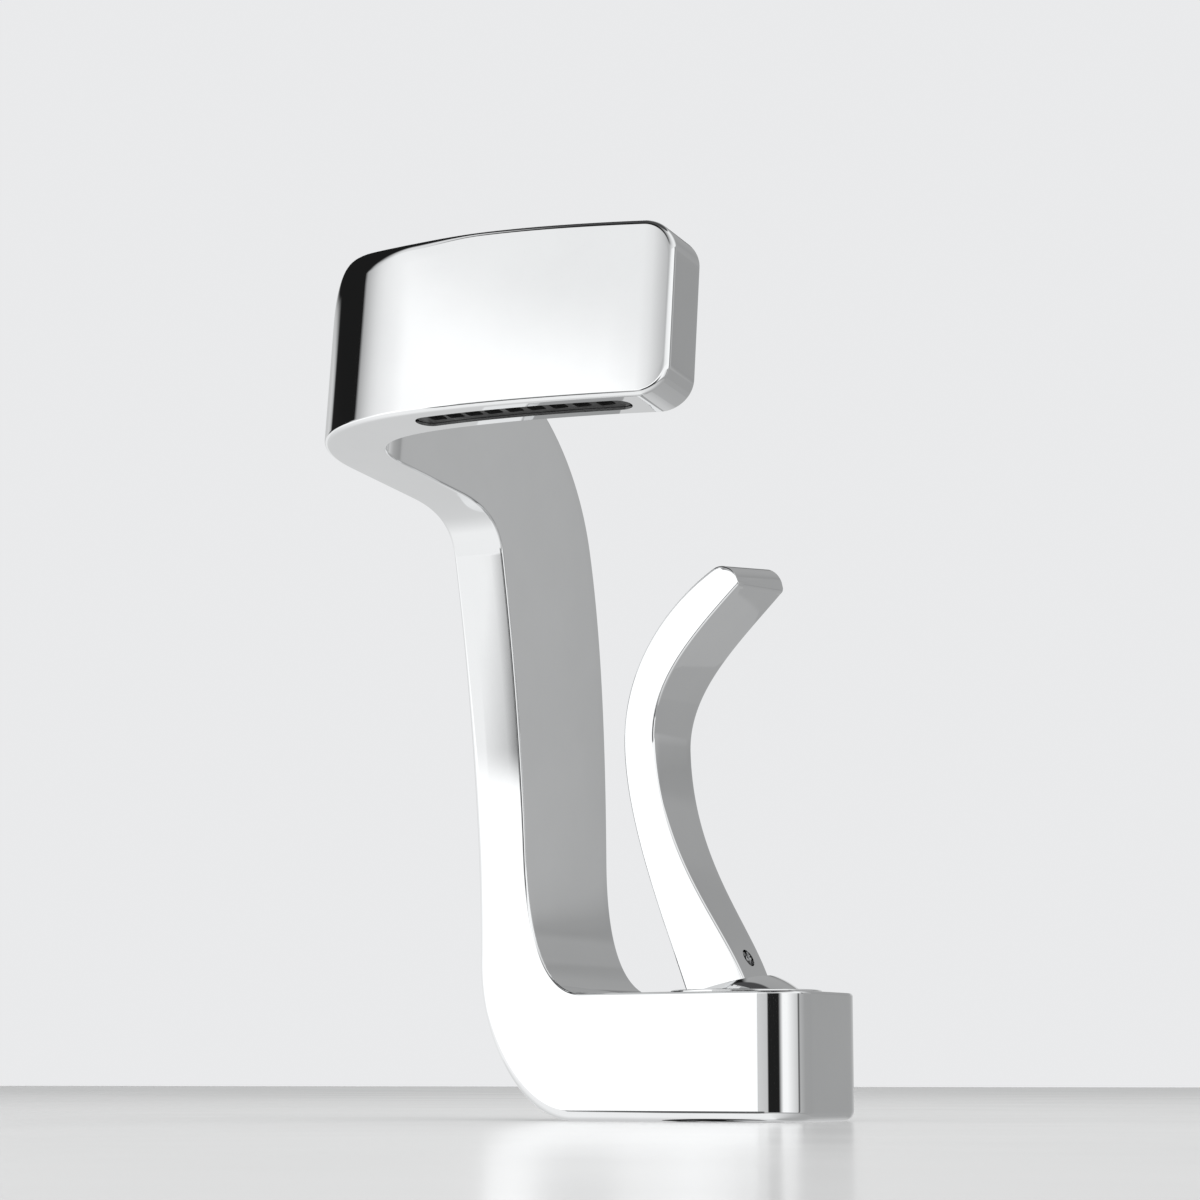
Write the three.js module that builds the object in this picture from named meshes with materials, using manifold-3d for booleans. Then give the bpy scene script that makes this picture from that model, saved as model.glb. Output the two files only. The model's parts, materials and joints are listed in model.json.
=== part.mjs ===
// Single-lever basin mixer shaped as one continuous folded ribbon.
// Millimetres, +Z up, front towards -Y. The origin is on the deck plane, under the middle of the base.
import * as THREE from 'three';
import { mergeVertices } from 'three/addons/utils/BufferGeometryUtils.js';
import Module from 'manifold-3d';

const wasm = await Module();
wasm.setup();

// ---- driving dimensions -------------------------------------------------------------------
const GAP = 0.3; // clearance kept between neighbouring solids

// Ribbon: the base, the column, the arm and the front slab are one folded bar.
const WIDTH = 52; // ribbon width, which is also the depth of the base
const HALF = WIDTH / 2;
const BASE_END = 58; // right end of the base
const BASE_HEIGHT = 40;
const BASE_CORNER = 12.5; // plan radius of the base's right-hand corners
const LEFT_FACE = -56; // outer face of the column
const COLUMN_THICKNESS = 19;
const INNER_FACE = LEFT_FACE + COLUMN_THICKNESS;
const OUTER_EDGE = 3.5; // fillet along the edges of the outer face, on the base
const SLAB_EDGE = 1.6; // the same on the slab; the column's fillet shrinks to it on the way up
const INNER_EDGE = 0.9; // fillet along the edges of the inner face
const ARM_PITCH = THREE.MathUtils.degToRad(6); // rise of the arm towards the front
const ARM_START = new THREE.Vector3(0, -66, 196.2); // on the arm's lower edge
const SLAB_CORNER = 9.5; // rounded corners of the slab's free end
const SLAB_SLANT = 0.04; // how far the front face falls short of the slab's back at the free end
const SLAB_BEND = 0.012; // curvature of the slab at its free end
const SLAB_EXTRA = 0.8; // extra width of the slab
const SLAB_CROWN = 1.2; // how far the slab's upper edge arches up beyond that
const FOLD_CROWN = 2.2; // the same for the fold beside the slab

// Cartridge, ring and lever share one vertical axis.
const AXIS_X = 28.5;
const PIVOT_Z = 20; // tilt axis of the lever
const CLOSED_LEAN = THREE.MathUtils.degToRad(-15); // the closed lever leans to the left
const FLOOR_Z = 7; // seat of the cartridge
const BORE_R = 18.3;
const NUT_BORE_R = 19.4;
const NUT_BORE_Z = 24;
const CAVITY_Z = 31.3;
const CAVITY_R = 24.3;
const CAVITY_HALF = 22.9; // flats either side, which carry the ring and clear the turned ball cap
const RING_SEAT_Z = 36.2;
const RING_R = 24;
const RING_TOP = BASE_HEIGHT + 0.8;
const BALL_R = 27;
const BALL_WALL = 1.8;
const BALL_FLAT = 22.2; // distance of the ball cap's flat top from the pivot
const STEM_HALF = 3.75;
const STEM_TOP = 34; // along the lever's own axis, from the pivot
const BALL_DROP = 4.2; // stem's lower ball below the pivot
const SCREW_R = 2.6;
const SCREW_Y = 1.2;
const SCREW_HEIGHT = 30; // set screw, along the lever's own axis

// Under the deck.
const DECK = 25;
const STUD = { x: 5.5, r: 4, hole: 4.3, depth: 9, bottom: -62 };
const INLET = { x: 25, y: 7.5, socket: 4.6, depth: 4.3, bore: 2.75 };
const GASKET = { x: 15.5, halfX: 34, halfY: 21, wall: 3, corner: 8, depth: 1.6 };
const CLAMP = { x: 17, mouth: 13, washerR: 24, washer: 2.8, plateR: 22, plate: 2 };
const NUT = { r: 7.5, high: 6.5 };

// ---- materials ----------------------------------------------------------------------------
const chrome = () => new THREE.MeshStandardMaterial({ color: 0xe2e4e6, roughness: 0.05, metalness: 1 });
const steel = () => new THREE.MeshStandardMaterial({ color: 0xb4b6b9, roughness: 0.32, metalness: 1 });
const brass = () => new THREE.MeshStandardMaterial({ color: 0xc9a45c, roughness: 0.35, metalness: 1 });
const rubber = () => new THREE.MeshStandardMaterial({ color: 0x1d1e20, roughness: 0.85, metalness: 0 });
const plastic = (color) => new THREE.MeshStandardMaterial({ color, roughness: 0.5, metalness: 0 });
const ceramic = () => new THREE.MeshStandardMaterial({ color: 0xefeae0, roughness: 0.25, metalness: 0 });

// ---- solids -------------------------------------------------------------------------------
function toSolid(geometry) {
  const bare = geometry.clone();
  bare.deleteAttribute('normal');
  bare.deleteAttribute('uv');
  const merged = mergeVertices(bare, 1e-4);
  return new wasm.Manifold(new wasm.Mesh({
    numProp: 3,
    vertProperties: new Float32Array(merged.attributes.position.array),
    triVerts: new Uint32Array(merged.index.array),
  }));
}

function toGeometry(solid) {
  const mesh = solid.getMesh();
  const geometry = new THREE.BufferGeometry();
  geometry.setAttribute('position', new THREE.BufferAttribute(new Float32Array(mesh.vertProperties), 3));
  geometry.setIndex(new THREE.BufferAttribute(new Uint32Array(mesh.triVerts), 1));
  geometry.computeVertexNormals();
  return geometry;
}

function cut(geometry, tools) {
  return toGeometry(tools.reduce((solid, tool) => solid.subtract(toSolid(tool)), toSolid(geometry)));
}

function join(geometries) {
  const [first, ...rest] = geometries.map(toSolid);
  return toGeometry(rest.reduce((solid, other) => solid.add(other), first));
}

function common(a, b) {
  return toGeometry(toSolid(a).intersect(toSolid(b)));
}

/** Upright cylinder between two heights. */
function post(radius, low, high, x = 0, y = 0, sides = 32) {
  const geometry = new THREE.CylinderGeometry(radius, radius, high - low, sides);
  geometry.rotateX(Math.PI / 2);
  return geometry.translate(x, y, (low + high) / 2);
}

function box(low, high) {
  const size = high.map((value, axis) => value - low[axis]);
  const middle = high.map((value, axis) => (value + low[axis]) / 2);
  return new THREE.BoxGeometry(...size).translate(...middle);
}

/** Solid of revolution about the vertical, from [radius, height] points. */
function turned(points, sides = 40) {
  const profile = points.map(([r, z]) => new THREE.Vector2(r, z));
  if (points[0][0] > 0) profile.push(profile[0].clone());
  return new THREE.LatheGeometry(profile, sides).rotateX(Math.PI / 2);
}

/** Square-cut ring between two radii and two heights. */
const washer = (inner, outer, low, high, sides = 40) => turned(
  [[inner, low], [outer, low], [outer, high], [inner, high]], sides);

function plate(shape, low, high, curveSegments = 8) {
  const settings = { depth: high - low, bevelEnabled: false, curveSegments };
  return new THREE.ExtrudeGeometry(shape, settings).translate(0, 0, low);
}

function roundedRectangle(target, x, y, halfX, halfY, radius) {
  target.moveTo(x - halfX + radius, y - halfY);
  target.lineTo(x + halfX - radius, y - halfY);
  target.absarc(x + halfX - radius, y - halfY + radius, radius, -Math.PI / 2, 0);
  target.lineTo(x + halfX, y + halfY - radius);
  target.absarc(x + halfX - radius, y + halfY - radius, radius, 0, Math.PI / 2);
  target.lineTo(x - halfX + radius, y + halfY);
  target.absarc(x - halfX + radius, y + halfY - radius, radius, Math.PI / 2, Math.PI);
  target.lineTo(x - halfX, y - halfY + radius);
  target.absarc(x - halfX + radius, y - halfY + radius, radius, Math.PI, 1.5 * Math.PI);
  return target;
}

function hexagon(target, radius) {
  for (let i = 0; i < 6; i += 1) {
    const angle = i * Math.PI / 3;
    const method = i ? 'lineTo' : 'moveTo';
    target[method](radius * Math.cos(angle), radius * Math.sin(angle));
  }
  target.closePath();
  return target;
}

// ---- ribbon -------------------------------------------------------------------------------
const bezier = (...points) => new THREE.CubicBezierCurve(...points.map(([a, b]) => new THREE.Vector2(a, b)));

// Side view (y, z) of the column's two edges, then of the sweep into the arm.
const armTop = ARM_START.clone().add(
  new THREE.Vector3(0, Math.sin(ARM_PITCH), Math.cos(ARM_PITCH)).multiplyScalar(WIDTH));
const FRONT_COLUMN = bezier([-HALF, 52], [-26.8, 95], [-33, 140], [-42, 180.5]);
const BACK_COLUMN = bezier([HALF, 52], [HALF, 100], [25.5, 150], [14.5, 190]);
const FRONT_SWEEP = bezier([-42, 180.5], [-44, 189.5], [-51, 194.4], [ARM_START.y, ARM_START.z]);
const BACK_SWEEP = bezier([14.5, 190], [6, 221], [-22, 243.8], [armTop.y, armTop.z]);

// Front view (x, z) of the bend between the base and the column.
const OUTER_BEND = bezier([-22, 0], [-38, 0], [LEFT_FACE, 22], [LEFT_FACE, 50]);
const INNER_BEND = bezier([-17, BASE_HEIGHT], [-28, BASE_HEIGHT], [INNER_FACE, 52], [INNER_FACE, 85]);
const BEND_TOP = 85;

// Rounding of the fold's top edge: share of the fold (above 1 is in the slab), its depth and its width.
const FOLD_EDGE = [
  { at: 0, deep: SLAB_EDGE, wide: SLAB_EDGE },
  { at: 0.4, deep: 3, wide: 15 },
  { at: 0.75, deep: 3.4, wide: 8 },
  { at: 1, deep: 2.2, wide: 3 },
  { at: 1.3, deep: SLAB_EDGE, wide: SLAB_EDGE },
];

// Plan of the arm's frame (x, distance along the arm): the fold into the slab, then the slab.
const OUTER_FOLD = bezier([LEFT_FACE, 36], [LEFT_FACE, 60], [-40, 75.5], [-10, 76.6]);
const INNER_FOLD = bezier([INNER_FACE, 34], [INNER_FACE, 50], [-30, 58.2], [-8, 59.4]);
const OUTER_SLAB = bezier([-10, 76.6], [14, 77.5], [47, 73], [77.2, 65.6]);
const INNER_SLAB = bezier([-8, 59.4], [14, 60.6], [44, 56.4], [73.4, 49.1]);

/** Edge of the column at a height: the edges are upright below the start of their curve. */
function edgeAt(curve, z) {
  const start = curve.v0.y;
  if (z <= start) return curve.v0.x;
  let low = 0;
  let high = 1;
  for (let i = 0; i < 30; i += 1) {
    const middle = (low + high) / 2;
    if (curve.getPoint(middle).y < z) low = middle;
    else high = middle;
  }
  return curve.getPoint(low).x;
}

/** A station of the ribbon: its four corners, outer and inner, front and back. */
const station = (outerFront, outerBack, innerFront, innerBack) => (
  { outerFront, outerBack, innerFront, innerBack });

function baseStation(x) {
  return station(
    new THREE.Vector3(x, -HALF, 0), new THREE.Vector3(x, HALF, 0),
    new THREE.Vector3(x, -HALF, BASE_HEIGHT), new THREE.Vector3(x, HALF, BASE_HEIGHT));
}

function bendStation(t) {
  const straight = 0.75;
  const outer = t < straight
    ? OUTER_BEND.getPoint(t / straight)
    : new THREE.Vector2(LEFT_FACE, THREE.MathUtils.mapLinear(t, straight, 1, 50, BEND_TOP));
  const inner = INNER_BEND.getPoint(t);
  return station(
    new THREE.Vector3(outer.x, edgeAt(FRONT_COLUMN, outer.y), outer.y),
    new THREE.Vector3(outer.x, edgeAt(BACK_COLUMN, outer.y), outer.y),
    new THREE.Vector3(inner.x, edgeAt(FRONT_COLUMN, inner.y), inner.y),
    new THREE.Vector3(inner.x, edgeAt(BACK_COLUMN, inner.y), inner.y));
}

function uprightStation(front, back) {
  return station(
    new THREE.Vector3(LEFT_FACE, front.x, front.y), new THREE.Vector3(LEFT_FACE, back.x, back.y),
    new THREE.Vector3(INNER_FACE, front.x, front.y), new THREE.Vector3(INNER_FACE, back.x, back.y));
}

function columnStation(t) {
  const frontZ = THREE.MathUtils.lerp(BEND_TOP, FRONT_COLUMN.v3.y, t);
  const backZ = THREE.MathUtils.lerp(BEND_TOP, BACK_COLUMN.v3.y, t);
  return uprightStation(
    new THREE.Vector2(edgeAt(FRONT_COLUMN, frontZ), frontZ),
    new THREE.Vector2(edgeAt(BACK_COLUMN, backZ), backZ));
}

/** Point of the arm's frame: across (x), along the arm, and up its width. */
function armPoint(x, along, up) {
  const [s, c] = [Math.sin(ARM_PITCH), Math.cos(ARM_PITCH)];
  return new THREE.Vector3(x, ARM_START.y - along * c + up * s, ARM_START.z + along * s + up * c);
}

function slabCrown(x) {
  return SLAB_EXTRA + SLAB_CROWN * Math.max(0, Math.cos((x - 5) / 60 * Math.PI / 2));
}

function armStation(outer, inner, crown = 0) {
  return station(
    armPoint(outer.x, outer.y, 0), armPoint(outer.x, outer.y, WIDTH + crown),
    armPoint(inner.x, inner.y, 0), armPoint(inner.x, inner.y, WIDTH + crown));
}

const frontShare = (t) => t * (1 - SLAB_SLANT * t);

function slabStation(t) {
  const outer = OUTER_SLAB.getPoint(frontShare(t));
  return armStation(outer, INNER_SLAB.getPoint(t), slabCrown(outer.x));
}

const round = (radius) => ({ deep: radius, wide: radius });
const evenEdges = (outer, inner) => ({ front: round(outer), rear: round(outer), inner: round(inner) });

/** Rounding of the outer face's top edge along the fold and into the slab. */
function foldEdges(share) {
  const edges = evenEdges(SLAB_EDGE, INNER_EDGE);
  const next = FOLD_EDGE.findIndex(({ at }) => at > share);
  if (next < 1) return edges;
  const [before, after] = [FOLD_EDGE[next - 1], FOLD_EDGE[next]];
  const mix = THREE.MathUtils.smoothstep(share, before.at, after.at);
  edges.rear = {
    deep: THREE.MathUtils.lerp(before.deep, after.deep, mix),
    wide: THREE.MathUtils.lerp(before.wide, after.wide, mix),
  };
  return edges;
}

/**
 * Ring of points round one station, edges filleted. corner rounds the bar's free end: the ring
 * turns through an angle of a corner of that radius, about the station it starts from, and leans
 * inward by the bend given.
 */
function ringAt(place, edges, steps, corner = null) {
  const column = (outer, inner, outerMate, innerMate, outerEdge) => {
    const points = [];
    const across = inner.clone().sub(outer).normalize();
    const fillet = (apex, mate, depthwise, edge, angle) => {
      const inset = edge.wide * (1 - Math.sin(angle));
      const rise = edge.deep * (1 - Math.cos(angle));
      const widthwise = mate.clone().sub(apex).normalize();
      const point = apex.clone().addScaledVector(depthwise, rise);
      if (!corner) return point.addScaledVector(widthwise, inset);
      const radius = corner.radius - inset;
      const reach = radius * Math.sin(corner.angle);
      point.addScaledVector(widthwise, inset + radius * (1 - Math.cos(corner.angle)));
      point.addScaledVector(across, corner.bend * reach ** 2 / 2);
      return point.addScaledVector(corner.direction, reach);
    };
    for (let i = 0; i <= steps; i += 1) {
      points.push(fillet(outer, outerMate, across, outerEdge, i / steps * Math.PI / 2));
    }
    const back = across.clone().negate();
    for (let i = steps; i >= 0; i -= 1) {
      points.push(fillet(inner, innerMate, back, edges.inner, i / steps * Math.PI / 2));
    }
    return points;
  };
  const { outerFront, outerBack, innerFront, innerBack } = place;
  const front = column(outerFront, innerFront, outerBack, innerBack, edges.front);
  const rear = column(outerBack, innerBack, outerFront, innerFront, edges.rear);
  return [...front, ...rear.reverse()];
}

/** Closed bar through rings of equal length. */
function bar(rings) {
  const count = rings[0].length;
  const positions = rings.flat().flatMap((point) => [point.x, point.y, point.z]);
  const index = [];
  for (let r = 0; r + 1 < rings.length; r += 1) {
    for (let i = 0; i < count; i += 1) {
      const next = (i + 1) % count;
      const [a, b] = [r * count + i, r * count + next];
      index.push(a, b, b + count, a, b + count, a + count);
    }
  }
  const endCap = (first, flip) => {
    for (let i = 0; i + 1 < count / 2; i += 1) {
      const [a, b, c, d] = [i, i + 1, count - 2 - i, count - 1 - i].map((k) => first + k);
      index.push(...(flip ? [a, c, b, a, d, c] : [a, b, c, a, c, d]));
    }
  };
  endCap(0, true);
  endCap((rings.length - 1) * count, false);
  const geometry = new THREE.BufferGeometry();
  geometry.setAttribute('position', new THREE.Float32BufferAttribute(positions, 3));
  geometry.setIndex(index);
  return outward(geometry);
}

/** Turns a closed mesh so that its faces point out. */
function outward(geometry) {
  const index = geometry.index.array;
  const at = (i) => new THREE.Vector3().fromBufferAttribute(geometry.attributes.position, index[i]);
  let volume = 0;
  for (let i = 0; i < index.length; i += 3) volume += at(i).dot(at(i + 1).cross(at(i + 2)));
  if (volume < 0) {
    for (let i = 0; i < index.length; i += 3) [index[i + 1], index[i + 2]] = [index[i + 2], index[i + 1]];
  }
  return geometry;
}

const range = (count, make) => Array.from({ length: count }, (_, i) => make(i / (count - 1)));

/** Rings that round off the free end of a bar. */
function endRings(place, corner, count, edges, steps) {
  return range(count, (t) => ringAt(place, edges, steps, { ...corner, angle: t * Math.PI / 2 }));
}

function ribbon() {
  const steps = 4;
  const slabEndT = 0.882;
  const thick = evenEdges(OUTER_EDGE, INNER_EDGE);
  const fine = evenEdges(SLAB_EDGE, INNER_EDGE);
  const columnEdges = (t) => evenEdges(THREE.MathUtils.lerp(OUTER_EDGE, SLAB_EDGE, t), INNER_EDGE);
  const foldCrown = (t) => slabCrown(OUTER_FOLD.v3.x) * Math.sin(t * Math.PI / 2)
    + FOLD_CROWN * Math.sin(t ** 1.3 * Math.PI) ** 2;
  const baseCorner = { radius: BASE_CORNER, direction: new THREE.Vector3(1, 0, 0), bend: 0 };
  const slabCorner = { radius: SLAB_CORNER, direction: slabDirection(slabEndT), bend: SLAB_BEND };
  const baseEnd = endRings(baseStation(BASE_END - BASE_CORNER), baseCorner, 6, thick, steps);
  const bend = range(11, (t) => ringAt(bendStation(t), thick, steps));
  const column = range(8, (t) => ringAt(columnStation(t), columnEdges(t), steps));
  const sweep = range(11, (t) => ringAt(
    uprightStation(FRONT_SWEEP.getPoint(t), BACK_SWEEP.getPoint(t)), fine, steps));
  const fold = range(14, (t) => ringAt(
    armStation(OUTER_FOLD.getPoint(t), INNER_FOLD.getPoint(t), foldCrown(t)), foldEdges(t), steps));
  const slab = range(9, (t) => ringAt(slabStation(t * slabEndT), foldEdges(1 + t * slabEndT), steps));
  const slabEnd = endRings(slabStation(slabEndT), slabCorner, 7, fine, steps);
  return bar([
    ...baseEnd.reverse(), ...bend, ...column.slice(1), ...sweep.slice(1), ...fold, ...slab.slice(1),
    ...slabEnd.slice(1),
  ]);
}

/** Direction in which the slab's front face runs at one of its stations. */
function slabDirection(t) {
  const tangent = OUTER_SLAB.getTangent(frontShare(t));
  return armPoint(tangent.x, tangent.y, 0).sub(armPoint(0, 0, 0)).normalize();
}

/** The same bar, shrunk to a share of its width and thickness: the waterway inside it. */
function waterway() {
  const side = 0.29;
  const skin = 0.3;
  const shrink = (place) => {
    const at = (w, t) => {
      const outer = place.outerFront.clone().lerp(place.outerBack, w);
      const inner = place.innerFront.clone().lerp(place.innerBack, w);
      return outer.lerp(inner, t);
    };
    return [at(side, skin), at(side, 1 - skin), at(1 - side, 1 - skin), at(1 - side, skin)];
  };
  const places = [
    baseStation(AXIS_X - BORE_R + 4),
    ...range(8, bendStation),
    ...range(5, columnStation).slice(1),
    ...range(8, (t) => uprightStation(FRONT_SWEEP.getPoint(t), BACK_SWEEP.getPoint(t))).slice(1),
    ...range(8, (t) => armStation(OUTER_FOLD.getPoint(t), INNER_FOLD.getPoint(t))),
    ...range(5, (t) => slabStation(t * 0.78)).slice(1),
  ];
  return bar(places.map(shrink));
}

// ---- outlet -------------------------------------------------------------------------------
const OUTLET = { start: 0.05, end: 0.77, half: 4.2 };

/** Plan of the slot under the slab, in the arm's frame, following the slab's middle line. */
function outletShape(half, segments = 10) {
  const middle = (t) => OUTER_SLAB.getPoint(t).lerp(INNER_SLAB.getPoint(t), 0.5);
  const tangent = (t) => OUTER_SLAB.getTangent(t);
  const ts = range(segments, (k) => THREE.MathUtils.lerp(OUTLET.start, OUTLET.end, k));
  const side = (sign) => ts.map((t) => {
    const direction = tangent(t);
    return middle(t).add(new THREE.Vector2(-direction.y, direction.x).multiplyScalar(sign * half));
  });
  const cap = (t, from) => {
    const heading = Math.atan2(tangent(t).y, tangent(t).x);
    return range(7, (k) => {
      const angle = heading + from + Math.PI * k;
      return middle(t).add(new THREE.Vector2(Math.cos(angle), Math.sin(angle)).multiplyScalar(half));
    }).slice(1, -1);
  };
  return new THREE.Shape([
    ...side(-1), ...cap(OUTLET.end, -Math.PI / 2), ...side(1).reverse(), ...cap(OUTLET.start, Math.PI / 2),
  ]);
}

/** Carries a plate drawn in the arm's plan into the object's frame. */
function placeOnArm(geometry) {
  const matrix = new THREE.Matrix4().makeBasis(
    new THREE.Vector3(1, 0, 0),
    armPoint(0, 1, 0).sub(armPoint(0, 0, 0)),
    armPoint(0, 0, 1).sub(armPoint(0, 0, 0)));
  matrix.setPosition(armPoint(0, 0, 0));
  geometry.applyMatrix4(matrix);
  return outward(mergeVertices(geometry));
}

function outletInsert() {
  const shape = outletShape(OUTLET.half - GAP);
  const slots = 9;
  for (let i = 0; i < slots; i += 1) {
    const t = THREE.MathUtils.lerp(OUTLET.start, OUTLET.end, (i + 0.5) / slots);
    const centre = OUTER_SLAB.getPoint(t).lerp(INNER_SLAB.getPoint(t), 0.5);
    const hole = new THREE.Path();
    roundedRectangle(hole, centre.x, centre.y, 2.5, 1.9, 0.8);
    shape.holes.push(hole);
  }
  return placeOnArm(plate(shape, 0.9, 6.9, 3));
}

function outletSeal() {
  const shape = outletShape(OUTLET.half - GAP);
  shape.holes.push(new THREE.Path(outletShape(OUTLET.half - 1.9).getPoints().reverse()));
  return placeOnArm(plate(shape, 7.2, 8.8));
}

// ---- lever frame --------------------------------------------------------------------------
/** Carries a solid drawn on the lever's own axis (pivot at the origin) to the closed position. */
function placeOnLever(geometry) {
  return geometry.rotateY(CLOSED_LEAN).translate(AXIS_X, 0, PIVOT_Z);
}

const onAxis = (geometry) => geometry.translate(AXIS_X, 0, 0);

// Front view (x, z) of the lever's left and right faces.
const LEVER_LEFT = [
  bezier([12.5, 36.8], [5.5, 59], [-9.4, 93], [-9.4, 120]),
  bezier([-9.4, 120], [-9.4, 146], [8, 165], [25.5, 175.4]),
];
const LEVER_RIGHT = [
  bezier([34.2, 38.5], [28.3, 60], [3.5, 80], [2, 120]),
  bezier([2, 120], [1.2, 139], [17, 153], [33.5, 168]),
];
const LEVER_FRONT = bezier([0, -8.2], [0.35, -11], [0.65, -12.8], [1, -15]);
const LEVER_BACK = bezier([0, 9.2], [0.35, 13], [0.65, 14.4], [1, 17.2]);
const LEVER_TIP = bezier([25.5, 175.4], [28.2, 176.7], [32.2, 175.6], [33.7, 171.9]); // left, then over
const LEVER_NOSE = bezier([33.5, 168], [34.1, 168.5], [34.7, 168.9], [34.5, 169.7]); // right, then up
const TIP_RISE = { left: 0.112, right: 0.07, level: -8.7 }; // rise towards the back, level at this depth
const LEVER_EDGE = 0.9;

/** Station of the lever from its left and right edge in the front view and a share of its length. */
function leverSection(left, right, share) {
  const front = LEVER_FRONT.getPoint(share).y;
  const back = LEVER_BACK.getPoint(share).y;
  const corner = (side, y, rise) => new THREE.Vector3(
    side.x, y, side.y + rise * (y - TIP_RISE.level) * share ** 6);
  return station(
    corner(left, front, TIP_RISE.left), corner(left, back, TIP_RISE.left),
    corner(right, front, TIP_RISE.right), corner(right, back, TIP_RISE.right));
}

const leverStation = (part, t) => leverSection(
  LEVER_LEFT[part].getPoint(t), LEVER_RIGHT[part].getPoint(t), (part + t) / 2);

function leverBar() {
  const steps = 3;
  const edges = evenEdges(LEVER_EDGE, LEVER_EDGE);
  const lower = range(13, (t) => leverStation(0, t));
  const upper = range(12, (t) => leverStation(1, t));
  const tip = range(7, (t) => leverSection(LEVER_TIP.getPoint(t), LEVER_NOSE.getPoint(t), 1));
  return bar([...lower, ...upper.slice(1), ...tip.slice(1)].map((place) => ringAt(place, edges, steps)));
}

function leverStem() {
  const stem = box([-STEM_HALF, -STEM_HALF, -2.6], [STEM_HALF, STEM_HALF, STEM_TOP]);
  const neck = post(1.2, -BALL_DROP, -2.4, 0, 0, 16);
  const ball = new THREE.SphereGeometry(1.7, 20, 12).translate(0, 0, -BALL_DROP);
  const pinHole = new THREE.CylinderGeometry(1.9, 1.9, 20, 20);
  return placeOnLever(cut(join([stem, neck, ball]), [pinHole]));
}

function screwHole(radius, from, to, sides = 24) {
  const hole = new THREE.CylinderGeometry(radius, radius, to - from, sides).rotateZ(Math.PI / 2);
  return hole.translate((from + to) / 2, SCREW_Y, SCREW_HEIGHT);
}

function lever() {
  const socket = box(
    [-STEM_HALF - GAP, -STEM_HALF - GAP, 0], [STEM_HALF + GAP, STEM_HALF + GAP, STEM_TOP + GAP]);
  const belowFlat = box([-40, -40, -30], [40, 40, BALL_FLAT + GAP]);
  const belowRing = box([-60, -40, 0], [80, 40, RING_TOP + 0.4]);
  return cut(leverBar(), [
    placeOnLever(socket), placeOnLever(belowFlat), placeOnLever(screwHole(SCREW_R + GAP, 0, 20)), belowRing,
  ]);
}

function setScrew() {
  const from = STEM_HALF + GAP;
  const to = 7.2;
  const socket = plate(hexagon(new THREE.Shape(), 1.5), 0, 2.4).rotateY(Math.PI / 2);
  socket.translate(to - 2, SCREW_Y, SCREW_HEIGHT);
  return placeOnLever(cut(screwHole(SCREW_R, from, to), [socket]));
}

/** Spherical skirt about the pivot with a flat top, long enough each way for the lever's tilt. */
function ballCap() {
  const tiltHalf = THREE.MathUtils.degToRad(11);
  const hole = THREE.MathUtils.degToRad(40.6);
  const shell = (radius, flat) => {
    const points = [[0, 0], [radius, 0]];
    const top = Math.asin(flat / radius);
    for (let i = 1; i <= 14; i += 1) {
      points.push([radius * Math.cos(top * i / 14), radius * Math.sin(top * i / 14)]);
    }
    points.push([0, flat]);
    return turned(points, 48);
  };
  const centre = BALL_R * Math.sin(tiltHalf) * Math.cos(hole);
  const radius = BALL_R * Math.sin(hole);
  const outline = new THREE.Shape();
  outline.absarc(centre, 0, radius, -Math.PI / 2, Math.PI / 2);
  outline.absarc(-centre, 0, radius, Math.PI / 2, 1.5 * Math.PI);
  const skirtLean = -CLOSED_LEAN - tiltHalf; // the skirt stands upright when the lever is halfway open
  const hem = BALL_R * Math.cos(tiltHalf + hole) - 0.1;
  const trim = plate(outline, hem, 40, 20).rotateY(skirtLean);
  const outer = common(shell(BALL_R, BALL_FLAT), trim);
  const stemHole = box([-STEM_HALF - GAP, -STEM_HALF - GAP, 0], [STEM_HALF + GAP, STEM_HALF + GAP, 40]);
  return placeOnLever(cut(outer, [shell(BALL_R - BALL_WALL, BALL_FLAT - BALL_WALL), stemHole]));
}

// ---- body and its fixed parts -------------------------------------------------------------
function gasketShape(clearance) {
  const { x, halfX, halfY, wall, corner } = GASKET;
  const shape = new THREE.Shape();
  roundedRectangle(shape, x, 0, halfX - clearance, halfY - clearance, corner);
  const hole = new THREE.Path();
  const inner = wall - clearance;
  roundedRectangle(hole, x, 0, halfX - inner, halfY - inner, corner - wall);
  shape.holes.push(hole);
  return shape;
}

function bodyCasting() {
  const cavity = common(
    post(CAVITY_R, CAVITY_Z, BASE_HEIGHT + 1, AXIS_X, 0, 56),
    box([0, -CAVITY_HALF, CAVITY_Z - 1], [60, CAVITY_HALF, BASE_HEIGHT + 2]));
  const inlets = [-1, 1].flatMap((side) => [
    post(INLET.socket, -1, INLET.depth, INLET.x, side * INLET.y, 24),
    post(INLET.bore, -1, FLOOR_Z + 1, INLET.x, side * INLET.y, 16),
  ]);
  return cut(ribbon(), [
    waterway(),
    post(BORE_R, FLOOR_Z, BASE_HEIGHT + 1, AXIS_X, 0, 40),
    post(NUT_BORE_R, NUT_BORE_Z, BASE_HEIGHT + 1, AXIS_X, 0, 40),
    cavity,
    post(CAVITY_R, RING_SEAT_Z, BASE_HEIGHT + 1, AXIS_X, 0, 56),
    placeOnArm(plate(outletShape(OUTLET.half), -4, WIDTH / 2)),
    post(STUD.hole, -1, STUD.depth, STUD.x, 0, 24),
    plate(gasketShape(0), -1, GASKET.depth, 4),
    ...inlets,
  ]);
}

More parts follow.
